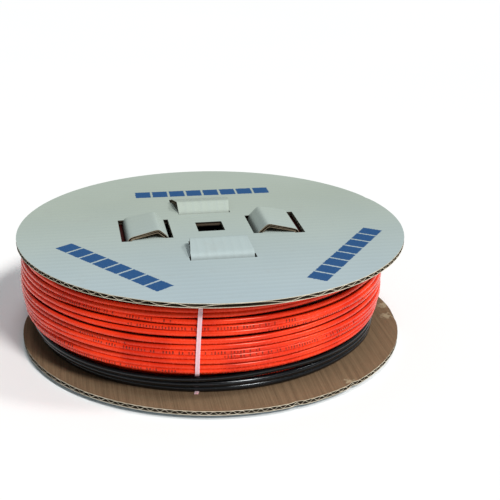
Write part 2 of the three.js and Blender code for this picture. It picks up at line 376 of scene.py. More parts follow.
class Paint:
    """Node tree of one material, with short calls for the nodes it uses."""

    def __init__(self, name):
        self.material = bpy.data.materials.new(name)
        self.material.use_nodes = True
        self.tree = self.material.node_tree
        self.shader = self.tree.nodes["Principled BSDF"]

    def node(self, kind, **settings):
        made = self.tree.nodes.new(kind)
        for key, value in settings.items():
            setattr(made, key, value)
        return made

    def feed(self, socket, value):
        if isinstance(value, bpy.types.NodeSocket):
            self.tree.links.new(value, socket)
        else:
            socket.default_value = value

    def math(self, operation, *values):
        made = self.node("ShaderNodeMath", operation=operation)
        for socket, value in zip(made.inputs, values):
            self.feed(socket, value)
        return made.outputs[0]

    def ramp(self, value, low, high, to_low=0.0, to_high=1.0):
        """value from low..high to to_low..to_high, smoothly and clamped."""
        made = self.node("ShaderNodeMapRange", interpolation_type="SMOOTHSTEP")
        for socket, setting in zip(made.inputs, (value, low, high, to_low, to_high)):
            self.feed(socket, setting)
        return made.outputs[0]

    def noise(self, scale, detail=3.0, place=None, rough=0.5):
        made = self.node("ShaderNodeTexNoise")
        made.inputs["Scale"].default_value = scale
        made.inputs["Detail"].default_value = detail
        made.inputs["Roughness"].default_value = rough
        self.feed(made.inputs["Vector"], place or self.place())
        return made.outputs["Fac"]

    def place(self):
        return self.node("ShaderNodeTexCoord").outputs["Object"]

    def toward(self, direction):
        """Distance from the reel's axis in one direction."""
        made = self.node("ShaderNodeVectorMath", operation="DOT_PRODUCT")
        self.feed(made.inputs[0], self.place())
        made.inputs[1].default_value = direction
        return made.outputs["Value"]

    def lay(self):
        """The mesh's own lengths: across or along the piece."""
        split = self.node("ShaderNodeSeparateXYZ")
        self.feed(split.inputs[0], self.node("ShaderNodeUVMap", uv_map="lay").outputs[0])
        return split.outputs[0], split.outputs[1]

    def mix(self, share, first, second):
        made = self.node("ShaderNodeMix", data_type="RGBA")
        for name, value in (("Factor_Float", share), ("A_Color", first), ("B_Color", second)):
            socket = next(s for s in made.inputs if s.identifier == name)
            if isinstance(value, tuple) and len(value) == 3:
                value = (*value, 1.0)
            self.feed(socket, value)
        return next(s for s in made.outputs if s.identifier == "Result_Color")

    def bump(self, height, distance, strength=1.0):
        made = self.node("ShaderNodeBump")
        made.inputs["Distance"].default_value = distance
        made.inputs["Strength"].default_value = strength
        self.feed(made.inputs["Height"], height)
        self.feed(self.shader.inputs["Normal"], made.outputs[0])

    def surface(self, colour, roughness, specular=0.5):
        if isinstance(colour, tuple):
            colour = (*colour, 1.0)
        self.feed(self.shader.inputs["Base Color"], colour)
        self.feed(self.shader.inputs["Roughness"], roughness)
        self.shader.inputs["Specular IOR Level"].default_value = specular


def shade(colour, share):
    return tuple(c * share for c in colour)


def flute_wave(paint):
    """Between -1 and 1 as the flutes under the paper rise and fall."""
    across = paint.lay()[0]
    return paint.math("SINE", paint.math("MULTIPLY", across, 2 * math.pi / (FLUTE_PITCH * MM)))


def white_liner(name, bars=False):
    """Bleached paper over flutes, greener and darker towards the back, with faint scuffs and fibres."""
    paint = Paint(name)
    wave = flute_wave(paint)
    fibres = paint.noise(900.0, 2.0)
    clouds = paint.noise(9.0, 4.0)
    scuffs = paint.ramp(paint.noise(38.0, 6.0, rough=0.7), 0.56, 0.72)
    backward = paint.math("ADD", paint.toward((0.0, 1.0, 0.0)), paint.math("MULTIPLY", clouds, 0.1))
    # The colour goes greener and darker towards the back of the reel.
    back_share = paint.ramp(backward, -0.14, 0.14)
    front_tone = paint.mix(clouds, (0.37, 0.455, 0.48), (0.425, 0.52, 0.57))
    back_tone = paint.mix(clouds, (0.355, 0.41, 0.35), (0.41, 0.47, 0.41))
    colour = paint.mix(back_share, front_tone, back_tone)
    # Painted shade: darker in step with the flutes, where their ridges shade the paper.
    colour = paint.mix(paint.ramp(wave, 0.2, 1.0, 0.0, 0.16), colour, (0.33, 0.39, 0.39))
    colour = paint.mix(paint.math("MULTIPLY", scuffs, 0.22), colour, (0.33, 0.35, 0.33))
    colour = paint.mix(paint.ramp(fibres, 0.35, 0.75, 0.0, 0.12), colour, (0.56, 0.62, 0.62))
    if bars:
        colour = print_bars(paint, colour, fibres)
    paint.surface(colour, paint.ramp(clouds, 0.2, 0.8, 0.55, 0.72), 0.35)
    height = paint.math("ADD", paint.math("MULTIPLY", wave, 0.5), paint.math("MULTIPLY", fibres, 0.35))
    paint.bump(height, 0.00012, 0.6)
    return paint.material


# Printed bars: azimuth in degrees, distance from the axis, shift along the bar
BARS = ((88.8, 0.103, -0.0045), (215.7, 0.1295, 0.014), (-35.8, 0.1386, -0.007))
BAR_LENGTH = 0.139
BAR_HEIGHT = 0.018
BAR_BLOCK = 0.0174
BAR_GAP = 0.0021
BAR_SOFTNESS = 0.0003


def up_to(paint, distance, reach):
    """1 as far as reach and 0 beyond it, with a slightly soft edge."""
    return paint.ramp(distance, reach - BAR_SOFTNESS, reach + BAR_SOFTNESS, 1.0, 0.0)


def print_bars(paint, colour, fibres):
    """Three plain blue dashed bars printed round the upper face."""
    ragged = paint.ramp(paint.noise(700.0, 2.0), 0.3, 0.7, -0.0004, 0.0004)
    for degrees, distance, shift in BARS:
        angle = math.radians(degrees)
        outward = paint.toward((math.cos(angle), math.sin(angle), 0.0))
        onward = paint.toward((-math.sin(angle), math.cos(angle), 0.0))
        radial = paint.math("ABSOLUTE", paint.math("SUBTRACT", outward, distance))
        tall = up_to(paint, paint.math("ADD", radial, ragged), BAR_HEIGHT / 2)
        beside = paint.math("SUBTRACT", onward, shift)
        wide = up_to(paint, paint.math("ABSOLUTE", beside), BAR_LENGTH / 2)
        period = paint.math("PINGPONG", paint.math("ADD", beside, ragged), BAR_BLOCK / 2)
        block = paint.ramp(period, BAR_GAP / 2 - BAR_SOFTNESS, BAR_GAP / 2 + BAR_SOFTNESS)
        mask = paint.math("MULTIPLY", paint.math("MULTIPLY", tall, wide), block)
        ink = paint.math("MULTIPLY", mask, paint.ramp(fibres, 0.2, 0.5, 0.88, 0.98))
        colour = paint.mix(ink, colour, (0.006, 0.068, 0.21))
    return colour


def tear(paint, colour, spot, size):
    """A ragged place where the top of the paper is torn off and the pale inside shows."""
    away = paint.node("ShaderNodeVectorMath", operation="DISTANCE")
    paint.feed(away.inputs[0], paint.place())
    away.inputs[1].default_value = spot
    ragged = paint.ramp(paint.noise(260.0, 4.0, rough=0.7), 0.3, 0.7, -0.6 * size, 0.6 * size)
    mask = paint.ramp(paint.math("ADD", away.outputs["Value"], ragged), 0.5 * size, size, 0.6, 0.0)
    return paint.mix(mask, colour, (0.44, 0.38, 0.25))


def kraft_liner(name, dark, light, torn=()):
    """Brown paper over flutes, streaked along them."""
    paint = Paint(name)
    wave = flute_wave(paint)
    across, along = paint.lay()
    streaks = paint.node("ShaderNodeCombineXYZ")
    paint.feed(streaks.inputs[0], across)
    paint.feed(streaks.inputs[1], paint.math("MULTIPLY", along, 0.012))
    lines = paint.noise(900.0, 4.0, streaks.outputs[0], 0.7)
    fibres = paint.noise(1300.0, 3.0)
    clouds = paint.noise(14.0, 4.0)
    colour = paint.mix(clouds, dark, light)
    colour = paint.mix(paint.ramp(lines, 0.4, 0.68, 0.0, 0.6), colour, shade(dark, 0.5))
    # Painted shade: darker in step with the flutes, where their ridges shade the paper.
    colour = paint.mix(paint.ramp(wave, -0.4, 1.0, 0.0, 0.22), colour, shade(dark, 0.6))
    colour = paint.mix(paint.ramp(fibres, 0.52, 0.75, 0.0, 0.4), colour, shade(light, 1.6))
    for spot, size in torn:
        colour = tear(paint, colour, spot, size)
    paint.surface(colour, 0.85, 0.2)
    height = paint.math("ADD", paint.math("MULTIPLY", wave, 0.6), paint.math("MULTIPLY", lines, 0.5))
    paint.bump(height, 0.00015, 0.7)
    return paint.material


def cut_paper(name, dark, light):
    """The cut edge of paper, fuzzy and uneven."""
    paint = Paint(name)
    fibres = paint.noise(1500.0, 4.0)
    clouds = paint.noise(60.0, 3.0)
    share = paint.math("MULTIPLY", fibres, paint.ramp(clouds, 0.3, 0.7, 0.6, 1.4))
    paint.surface(paint.mix(share, dark, light), 0.95, 0.15)
    paint.bump(fibres, 0.0002, 0.5)
    return paint.material


# Print along the cable: spacing of its ticks, length of a repeat, inked share of a repeat
TICK_SPACING = 0.0026
PRINT_REPEAT = 0.47
PRINT_SHARE = 0.3


def cable_sheath(name, dark, light, ink, ink_share, roughness, tint):
    """Extruded sheath with faint drawing lines and a run of plain ink ticks, with painted shade along
    its top and bottom where it lies between turns.
    """
    paint = Paint(name)
    along, around = paint.lay()
    turns = paint.noise(26.0, 2.0)
    fine = paint.noise(420.0, 3.0)
    colour = paint.mix(paint.ramp(turns, 0.3, 0.7), dark, light)
    # Painted shade: the sheath goes dark towards its top and bottom, where it lies against the turns
    # above and below.
    crevice_shade = paint.ramp(paint.math("ABSOLUTE", around), 0.15, 0.24, 0.0, 0.85)
    colour = paint.mix(crevice_shade, colour, shade(dark, 0.1))
    cell = paint.math("FLOOR", paint.math("DIVIDE", along, TICK_SPACING))
    picked = paint.node("ShaderNodeTexWhiteNoise", noise_dimensions="1D")
    paint.feed(picked.inputs["W"], cell)
    chance = picked.outputs["Value"]
    within = paint.math("FRACT", paint.math("DIVIDE", along, TICK_SPACING))
    tick = paint.ramp(paint.math("ABSOLUTE", paint.math("SUBTRACT", within, 0.5)), 0.16, 0.26, 1.0, 0.0)
    drift = paint.math("MULTIPLY", paint.math("SINE", paint.math("MULTIPLY", along, 2.3)), 0.06)
    off = paint.math("ABSOLUTE", paint.math("SUBTRACT", around, drift))
    tall = paint.math("ADD", paint.math("MULTIPLY", chance, 0.06), 0.05)
    low = paint.math("SUBTRACT", tall, 0.015)
    reach = paint.ramp(off, low, tall, 1.0, 0.0)
    run = paint.math("FRACT", paint.math("DIVIDE", along, PRINT_REPEAT))
    running = paint.math("LESS_THAN", run, PRINT_SHARE)
    kept = paint.math("GREATER_THAN", chance, 0.22)
    mask = paint.math("MULTIPLY", paint.math("MULTIPLY", tick, reach), running)
    mask = paint.math("MULTIPLY", paint.math("MULTIPLY", mask, kept), ink_share)
    mask = paint.math("MULTIPLY", mask, paint.ramp(fine, 0.25, 0.6, 0.35, 1.0))
    colour = paint.mix(mask, colour, ink)
    paint.surface(colour, paint.ramp(fine, 0.2, 0.8, roughness - 0.04, roughness + 0.06), 0.5)
    paint.shader.inputs["Specular Tint"].default_value = (*tint, 1.0)
    paint.bump(fine, 0.00002, 0.2)
    return paint.material


def nylon(name):
    """Natural nylon, faintly ribbed across."""
    paint = Paint(name)
    along, across = paint.lay()
    ribs = paint.math("SINE", paint.math("MULTIPLY", along, 2 * math.pi / 0.0012))
    middle = paint.ramp(paint.math("ABSOLUTE", across), 0.0006, 0.0012, 1.0, 0.0)
    clouds = paint.noise(120.0, 3.0)
    colour = paint.mix(clouds, (0.86, 0.54, 0.59), (0.95, 0.68, 0.73))
    colour = paint.mix(paint.math("MULTIPLY", middle, 0.35), colour, (0.70, 0.40, 0.46))
    paint.surface(colour, paint.ramp(clouds, 0.2, 0.8, 0.32, 0.5), 0.5)
    paint.shader.inputs["Subsurface Weight"].default_value = 0.25
    paint.shader.inputs["Subsurface Radius"].default_value = (0.002, 0.001, 0.001)
    paint.bump(paint.math("MULTIPLY", ribs, middle), 0.0001, 0.6)
    return paint.material


def floor_paint():
    """Pale and matt, with the faintest of clouds."""
    paint = Paint("floor")
    cloud = paint.noise(1.5, 2.0)
    paint.surface(paint.mix(cloud, (0.90, 0.90, 0.90), (0.93, 0.93, 0.93)), 0.9, 0.1)
    return paint.material


# Board


def slot_boxes():
    """Rectangles cut through a flange: low x, high x, low y, high y."""
    half = SPINDLE_HOLE / 2
    boxes = [(-half, half, -half, half)]
    for low, high, length in (OUTER_SLOT, INNER_SLOT):
        for sign in (-1, 1):
            near, far = sorted((sign * low, sign * high))
            boxes.append((near, far, -length / 2, length / 2))
            boxes.append((-length / 2, length / 2, near, far))
    return boxes


def rim_point(angle, wear):
    """A point of the cut rim, which wanders a little and has dents."""
    radius = FLANGE_RADIUS - RIM_INSET
    radius += RIM_WANDER * grain(40 * math.cos(angle), 40 * math.sin(angle), 2.0)
    for azimuth, width, depth in wear:
        away = around(angle, math.radians(azimuth))
        radius -= depth * math.exp(-((away * FLANGE_RADIUS / width) ** 2))
    return polar(radius, angle)


def add_liner(build, low, high, across_y, wear, top_kind, under_kind):
    """A flat sheet of paper with the slots cut through it."""
    sheet = bmesh.new()
    rim = [rim_point(2 * math.pi * i / RIM_STEPS, wear) for i in range(RIM_STEPS)]
    loops = [[(p.x, p.y) for p in rim]]
    for x0, x1, y0, y1 in slot_boxes():
        loops.append([(x0, y0), (x1, y0), (x1, y1), (x0, y1)])
    edges = []
    for loop in loops:
        points = [sheet.verts.new((x, y, high)) for x, y in loop]
        edges += [sheet.edges.new((a, b)) for a, b in zip(points, points[1:] + points[:1])]
    bmesh.ops.triangle_fill(sheet, use_beauty=True, edges=edges)
    grown = bmesh.ops.extrude_face_region(sheet, geom=sheet.faces[:])
    moved = [g for g in grown["geom"] if isinstance(g, bmesh.types.BMVert)]
    bmesh.ops.translate(sheet, verts=moved, vec=(0, 0, low - high))
    bmesh.ops.recalc_face_normals(sheet, faces=sheet.faces)
    sheet.verts.index_update()
    start = len(build.vertices)
    for v in sheet.verts:
        build.point(*v.co)
    for f in sheet.faces:
        up = f.normal.z
        at_rim = f.calc_center_median().to_2d().length > FLANGE_RADIUS - RIM_DEPTH
        # Walls of slots take the painted shade.
        wall_kind = EDGE if at_rim else SLOT
        kind = top_kind if up > 0.5 else under_kind if up < -0.5 else wall_kind
        uvs = [((v.co.y, v.co.x) if across_y else (v.co.x, v.co.y)) for v in f.verts]
        build.face([start + v.index for v in f.verts], kind, [(u * MM, w * MM) for u, w in uvs])
    sheet.free()


def half_chord(radius, away):
    """Half the length of a line across a circle, at a distance from its middle."""
    return math.sqrt(max(radius * radius - away * away, 0))


def spans_across(cut, radius, across_y):
    """Where a flute line at this distance from the middle runs through board, not slots."""
    if abs(cut) >= radius:
        return []
    reach = half_chord(radius, cut)
    spans = [(-reach, reach)]
    for x0, x1, y0, y1 in slot_boxes():
        across, along = ((y0, y1), (x0, x1)) if across_y else ((x0, x1), (y0, y1))
        if not across[0] < cut < across[1]:
            continue
        parts = []
        for a, b in spans:
            if along[0] > a:
                parts.append((a, min(b, along[0])))
            if along[1] < b:
                parts.append((max(a, along[1]), b))
        spans = [(a, b) for a, b in parts if b > a]
    return spans


def add_medium(build, low, high, across_y):
    """The waved paper between the liners, cut off at the rim and the slots."""
    radius = FLANGE_RADIUS - MEDIUM_INSET
    step = FLUTE_PITCH / 12
    middle = (low + high) / 2
    swing = (high - low - MEDIUM) / 2
    count = int(2 * radius / step)
    for i in range(count):
        first = -radius + i * step
        second = first + step
        between = (first + second) / 2
        heights = [middle + swing * math.cos(2 * math.pi * c / FLUTE_PITCH) for c in (first, second)]
        rim = half_chord(radius, between)
        for a, b in spans_across(between, radius, across_y):
            p = []
            for cut, height in zip((first, second), heights):
                for end in (a, b):
                    if abs(end) > rim - 0.01:
                        end = math.copysign(half_chord(radius, cut), end)
                    x, y = (end, cut) if across_y else (cut, end)
                    p.append(build.point(x, y, height - MEDIUM / 2))
                    p.append(build.point(x, y, height + MEDIUM / 2))
            build.face([p[1], p[3], p[7], p[5]], INSIDE)
            build.face([p[0], p[4], p[6], p[2]], INSIDE)
            build.face([p[0], p[1], p[5], p[4]], EDGE)
            build.face([p[2], p[6], p[7], p[3]], EDGE)


def board_disc(name, base, across_y, wear, papers):
    """papers: upper face, lower face, inner paper, edge cut at the rim, edge cut at a slot."""
    build = Build()
    top = base + BOARD
    add_liner(build, top - LINER, top, across_y, wear, FACE, INSIDE)
    add_liner(build, base, base + LINER, across_y, wear, INSIDE, BACK)
    add_medium(build, base + LINER, top - LINER, across_y)
    return build.make(name, papers)


# Core


def rounded(line):
    """The line with its corners cut back twice and its ends kept."""
    points = [Vector(p) for p in line]
    for _ in range(2):
        cut = [points[0]]
        for a, b in zip(points, points[1:]):
            reach = min(0.25, CORNER_CUT / max((b - a).length, 0.01))
            cut += [a.lerp(b, reach), b.lerp(a, reach)]
        points = cut + [points[-1]]
    return points


def tongue_stations(line):
    """Points along a tongue's middle: place, outward normal, thickness, width, length so far."""
    centre = rounded(line)
    stations = []
    travelled = 0.0
    for i, spot in enumerate(centre):
        before = centre[max(i - 1, 0)].to_2d()
        after = centre[min(i + 1, len(centre) - 1)].to_2d()
        onward = (after - before).normalized()
        share = clamp((spot.x - INNER_SLOT[0]) / (OUTER_SLOT[0] - INNER_SLOT[0]))
        width = lerp(TONGUE_TIP_WIDTH, TONGUE_ROOT_WIDTH, share)
        if i:
            travelled += (spot.to_2d() - centre[i - 1].to_2d()).length
        normal = Vector((onward.y, -onward.x))
        stations.append((spot.to_2d(), normal, spot.z, width, travelled))
    return stations


def add_tongue(build, line, sign, base, quarter):
    """A folded tongue of fluted board: two liners and the wave between them."""
    stations = tongue_stations(line)
    turn = Matrix.Rotation(quarter * math.pi / 2, 3, "Z")
    seed = quarter * 3.7 + sign

    def place(spot, normal, offset, across):
        flat = spot + normal * offset
        return build.point(*(turn @ Vector((flat.x, across, base + sign * flat.y))))

    def sheet(offset_of, thickness, kinds, inset):
        """One sheet of paper; offset_of gives its middle for a lane and the board's half thickness."""
        rows = []
        for spot, normal, thick, width, length in stations:
            row = []
            for lane in range(TONGUE_LANES + 1):
                share = lane / TONGUE_LANES - 0.5
                ragged = grain(length * 0.16, seed, 7.0 if share > 0 else 1.0)
                fray = TONGUE_FRAY * ragged * (2 * share) ** 8
                across = share * (width - 2 * inset) + math.copysign(fray, share)
                middle = offset_of(across, thick / 2)
                upper = place(spot, normal, middle + thickness / 2, across)
                lower = place(spot, normal, middle - thickness / 2, across)
                row.append((upper, lower, across * MM, length * MM))
            rows.append(row)
        for first, second in zip(rows, rows[1:]):
            for a, b, c, d in zip(first, first[1:], second[1:], second):
                uvs = [(v[2], v[3]) for v in (a, b, c, d)]
                build.face([a[0], b[0], c[0], d[0]], kinds[0], uvs)
                build.face([d[1], c[1], b[1], a[1]], kinds[1], uvs[::-1])
            for edge in (0, -1):
                a, b = first[edge], second[edge]
                build.face([a[0], b[0], b[1], a[1]], EDGE)
        for row in (rows[0], rows[-1]):
            for a, b in zip(row, row[1:]):
                build.face([a[0], b[0], b[1], a[1]], EDGE)

    def wave(across, half):
        swing = max(half - LINER - MEDIUM / 2, 0.1)
        return swing * math.cos(2 * math.pi * across / FLUTE_PITCH)

    sheet(lambda across, half: half - LINER / 2, LINER, (FACE, INSIDE), 0.0)
    sheet(lambda across, half: LINER / 2 - half, LINER, (INSIDE, BACK), 0.0)
    sheet(wave, MEDIUM, (INSIDE, INSIDE), 0.6)


def add_wall(build, low, high):
    """The octagonal wall of the core: two liners and the wave between them."""
    corners = 8
    per_side = 96

    def ring(offset_of):
        """Points round the wall; offset_of gives their depth below its outer face."""
        points = []
        side = 2 * CORE_APOTHEM * math.tan(math.pi / corners)
        for i in range(corners * per_side):
            facet = math.floor(i / per_side)
            share = i / per_side - facet
            start = math.pi / corners + facet * 2 * math.pi / corners
            middle = start + math.pi / corners
            travelled = (facet + share) * side
            apothem = CORE_APOTHEM - offset_of(travelled)
            reach = apothem * math.tan(math.pi / corners)
            slide = lerp(-reach, reach, share)
            flat = polar(apothem, middle) + polar(slide, middle + math.pi / 2)
            points.append((flat.x, flat.y, travelled))
        return points

    def shell(outer_offset, inner_offset, kinds):
        outer = ring(outer_offset)
        inner = ring(inner_offset)
        count = len(outer)
        keys = []
        for (ox, oy, travelled), (ix, iy, _) in zip(outer, inner):
            outside = (build.point(ox, oy, low), build.point(ox, oy, high))
            inside = (build.point(ix, iy, low), build.point(ix, iy, high))
            keys.append((*outside, *inside, travelled * MM))
        for i in range(count):
            a, b = keys[i], keys[(i + 1) % count]
            uvs = [(a[4], 0.0), (b[4], 0.0), (b[4], high * MM), (a[4], high * MM)]
            build.face([a[0], b[0], b[1], a[1]], kinds[0], uvs)
            build.face([a[3], b[3], b[2], a[2]], kinds[1], uvs)
            build.face([a[1], b[1], b[3], a[3]], EDGE)
            build.face([a[2], b[2], b[0], a[0]], EDGE)

    swing = BOARD / 2 - LINER - MEDIUM / 2

    def wave(travelled):
        return BOARD / 2 + swing * math.cos(2 * math.pi * travelled / FLUTE_PITCH)

    shell(lambda t: 0.0, lambda t: LINER, (FACE, INSIDE))
    shell(lambda t: wave(t) - MEDIUM / 2, lambda t: wave(t) + MEDIUM / 2, (INSIDE, INSIDE))
    shell(lambda t: BOARD - LINER, lambda t: BOARD, (INSIDE, BACK))


def make_core(papers):
    """The wall and its folded tongues; papers: outer face, inner face, inside, edge."""
    build = Build()
    add_wall(build, FLOOR_LEVEL + CLEARANCE, CEILING - CLEARANCE)
    for quarter in range(4):
        add_tongue(build, TOP_TONGUE, 1, TOP_FACE, quarter)
        add_tongue(build, BOTTOM_TONGUE, -1, BOTTOM_BASE, quarter)
    return build.make("core_board", papers)


# Cable


def tube(name, path, radius, sides, material):
    """A round tube along a path that goes roughly round the reel, its ends rounded off."""
    vertices = []
    lengths = []
    travelled = 0.0
    for i, spot in enumerate(path):
        before = path[max(i - 1, 0)]
        after = path[min(i + 1, len(path) - 1)]
        onward = (after - before).normalized()
        outward = onward.cross(Vector((0, 0, 1))).normalized()
        upward = outward.cross(onward)
        if i:
            travelled += (spot - path[i - 1]).length
        lengths.append(travelled)
        end = min(i, len(path) - 1 - i)
        swell = (0.35, 0.8)[end] if end < 2 else 1.0
        for j in range(sides):
            angle = 2 * math.pi * j / sides
            spoke = outward * math.cos(angle) + upward * math.sin(angle)
            vertices.append(spot + spoke * radius * swell)
    faces = []
    uvs = []
    for i in range(len(path) - 1):
        for j in range(sides):
            k = (j + 1) % sides
            faces.append((i * sides + j, (i + 1) * sides + j, (i + 1) * sides + k, i * sides + k))
            low = (j if j < sides / 2 else j - sides) / sides
            high = low + 1 / sides
            a, b = lengths[i] * MM, lengths[i + 1] * MM
            uvs += [(a, low), (b, low), (b, high), (a, high)]
    last = (len(path) - 1) * sides
    faces.append(tuple(range(sides)))
    faces.append(tuple(last + j for j in reversed(range(sides))))
    uvs += [(0.0, 0.5)] * (2 * sides)
    return add_mesh(name, vertices, faces, [material], uvs=uvs)


STEPS_PER_TURN = 216
FRONT = math.radians(-98.0)
FRONT_HALF_WIDTH = 0.95

# Where the photographed front turns sit off an even spacing, by row
CROWDED = {5: 1.1, 8: -0.5, 9: -1.1, 10: -1.6, 11: -2.0, 12: 0.5, 13: 0.2, 16: -1.2}

# Turns that have slipped: row, azimuth, half width of the stretch, rise, move outwards
SLIPS = [
    (15, -58, 24, 0.8, -1.2),
    (14, -58, 26, -1.9, -1.6),
    (13, -58, 24, -0.9, 0.9),
    (11, -45, 20, 0.6, -1.4),
    (2, -74, 14, -0.8, 1.5),
    (12, -48, 22, 1.0, 1.0),
    (10, -34, 18, -1.3, -1.4),
    (9, -34, 20, -1.6, 1.0),
    (7, -50, 18, 0.9, 0.8),
    (14, -128, 20, 1.2, -1.6),
    (13, -130, 20, 0.9, 1.2),
    (11, -133, 24, 1.4, 1.2),
    (10, -133, 22, -1.0, -1.6),
    (12, -150, 20, 0.8, -1.2),
    (8, -140, 22, 1.1, 1.0),
    (7, -140, 18, -0.8, -1.8),
    (5, -128, 22, 1.0, 0.9),
    (15, 150, 24, -1.2, 0.9),
    (12, 165, 28, 1.1, -1.2),
    (9, 120, 24, -1.2, 0.8),
    (13, 60, 26, 1.0, 0.9),
    (8, 30, 24, -1.1, -1.0),
    (6, 90, 26, 1.0, -1.1),
]


def nearness(azimuth, middle, half_width):
    """1 in the middle of a stretch of a turn, falling to 0 on both sides of it."""
    return math.exp(-((around(azimuth, middle) / half_width) ** 2))


def dive(turn, turns, depth, stretch):
    """How far an end of a run dips in under its neighbours."""
    from_end = min(turn, turns - turn) * 2 * math.pi
    return depth * (1 - smooth_step(from_end / stretch))


def crowding(row, azimuth):
    """How far a turn sits off an even spacing here."""
    low = math.floor(row)
    share = row - low
    moved = lerp(CROWDED.get(low, 0.0), CROWDED.get(low + 1, 0.0), share)
    return moved * nearness(azimuth, FRONT, FRONT_HALF_WIDTH)


def slipped(row, azimuth):
    """How far a turn has slipped here: rise and move outwards."""
    rise = 0.0
    out = 0.0
    for slip_row, middle, half_width, up, outwards in SLIPS:
        share = clamp(1 - abs(row - slip_row))
        share *= nearness(azimuth, math.radians(middle), math.radians(half_width))
        rise += share * up
        out += share * outwards
    return rise, out


def cable_path():
    """The outermost layer: one run from the lower flange to the upper one."""
    path = []
    for step in range(CABLE_ROWS * STEPS_PER_TURN + 1):
        turn = step / STEPS_PER_TURN
        azimuth = FRONT + 2 * math.pi * (turn - 0.5)
        row = clamp(turn - 0.5, 0.0, CABLE_ROWS - 1.0)
        c, s = math.cos(azimuth), math.sin(azimuth)
        loose = smooth_step(row) * smooth_step(CABLE_ROWS - 1 - row)
        rise, out = slipped(row, azimuth)
        rise += crowding(row, azimuth) + 0.9 * grain(1.5 * c, 1.5 * s, row * 0.45 + 5)
        out += grain(1.3 * c + 9, 1.3 * s, row * 0.8) + 0.4 * grain(5 * c, 5 * s, row * 1.7)
        height = row_height(row) + loose * rise
        radius = row_radius(row) + out - RUN_INSET - dive(turn, CABLE_ROWS, 4.5, 0.6)
        path.append(settle(radius, azimuth, height))
    return path


# Where the turns of the cold lead part and swing out: azimuth and half width of each stretch
LEAD_GAP = (math.radians(-74.0), 0.36)
LEAD_SWING = (math.radians(-24.0), 0.40)


def lead_path():
    """Three turns of the cold lead; both ends dive in behind the red turns at the back."""
    path = []
    start = math.radians(78.0)
    turns = LEAD_TURNS + LEAD_LAP
    steps = int(STEPS_PER_TURN * turns)
    for step in range(steps + 1):
        turn = step / STEPS_PER_TURN
        azimuth = start + 2 * math.pi * turn
        row = clamp(turn - 0.55, 0.0, LEAD_TURNS - 1.0)
        c, s = math.cos(azimuth), math.sin(azimuth)
        parted = nearness(azimuth, *LEAD_GAP)
        swung = nearness(azimuth, *LEAD_SWING)
        upper = smooth_step(row - 0.9)
        height = LEAD_BASE + LEAD_RADIUS + row * LEAD_PITCH
        height += 0.35 * (grain(1.4 * c, 1.4 * s, row + 11) + 0.4) * clamp(row)
        height += parted * (3.2 * upper - 0.7 * clamp(row) * (row < 1.5))
        height += swung * upper * 1.6
        radius = lead_turn_radius(row) + 0.8 * grain(1.2 * c, 1.2 * s, row + 3)
        radius += swung * lerp(5.5, 1.5, clamp(row / 2)) - parted * 0.5 * clamp(row)
        radius -= dive(turn, turns, 7.0, 0.5)
        path.append(settle(radius, azimuth, height))
    return path


# Place round the sheath that lies in its painted shade between turns, beside its print; the inner turns
# take all their colour from there
SHADED_SIDE = 0.4
INNER_SEGMENTS = 160


def end_face(outer, face, inward):
    """Rounded backs of the turns on an end of the winding, from the bore outwards."""
    turns = round((outer - BORE_RADIUS) / ROW_PITCH)
    width = (outer - BORE_RADIUS) / turns
    points = []
    for i in range(turns):
        for degrees in (-80, -45, 0, 45, 80):
            angle = math.radians(degrees)
            radius = BORE_RADIUS + (i + 0.5) * width + width / 2 * math.sin(angle)
            points.append((radius, face + inward * width / 2 * (1 - math.cos(angle))))
    return points


def make_inner_turns(material):
    """The layers under the outermost one, as one turned body with its turns showing."""
    rows = []
    for row in range(CABLE_ROWS - 1):
        radius = min(whole_row_radius(row), whole_row_radius(row + 1)) - NEST_DEPTH
        for degrees in (-70, -40, 0, 40, 70):
            angle = math.radians(degrees)
            reach = radius + CABLE_RADIUS * math.cos(angle)
            rows.append((reach, row_height(row + 0.5) + CABLE_RADIUS * math.sin(angle)))
    top = WINDING_BASE + CABLE_ROWS * ROW_PITCH
    below = end_face(rows[0][0] - 0.5, WINDING_BASE, 1)
    above = end_face(rows[-1][0] - 0.5, top, -1)
    profile = below + rows + above[::-1]
    count = len(profile)
    build = Build()
    for i in range(INNER_SEGMENTS):
        angle = 2 * math.pi * i / INNER_SEGMENTS
        for radius, height in profile:
            build.point(*settle(radius, angle, height, hugs_core=True))
    for i in range(INNER_SEGMENTS):
        k = (i + 1) % INNER_SEGMENTS
        for j in range(count):
            m = (j + 1) % count
            quad = [i * count + j, k * count + j, k * count + m, i * count + m]
            # Every face takes the sheath's colour at its painted shade between turns.
            build.face(quad, uvs=[(0.0, SHADED_SIDE)] * 4)
    return build.make("inner_turns", [material], smooth=True)


# Strap


def taut_round(points):
    """Points of a taut band round the given ones, anticlockwise."""

    def turning(a, b, c):
        return (b[0] - a[0]) * (c[1] - a[1]) - (b[1] - a[1]) * (c[0] - a[0])

    def chain(ordered):
        kept = []
        for point in ordered:
            while len(kept) > 1 and turning(kept[-2], kept[-1], point) <= 1e-6:
                kept.pop()
            kept.append(point)
        return kept[:-1]

    ordered = sorted(points)
    return chain(ordered) + chain(ordered[::-1])


def strap_loop():
    """The middle of the strap's thickness: distance from the axis and height."""
    stand_off = CLEARANCE + STRAP_THICKNESS / 2
    side = CORE_APOTHEM + STRAP_CORE_GAP + STRAP_THICKNESS / 2
    points = [(side, STRAP_LOW), (side, STRAP_HIGH)]
    for row in range(CABLE_ROWS):
        for degrees in range(-60, 61, 15):
            angle = math.radians(degrees)
            reach = whole_row_radius(row) + (CABLE_RADIUS + stand_off) * math.cos(angle)
            height = row_height(row) + (CABLE_RADIUS + stand_off) * math.sin(angle)
            points.append((reach, clamp(height, STRAP_LOW, STRAP_HIGH)))
    loop = taut_round(points)
    spaced = []
    for a, b in zip(loop, loop[1:] + loop[:1]):
        parts = max(1, round(math.dist(a, b) / STRAP_STEP))
        for i in range(parts):
            spaced.append((lerp(a[0], b[0], i / parts), lerp(a[1], b[1], i / parts)))
    return spaced


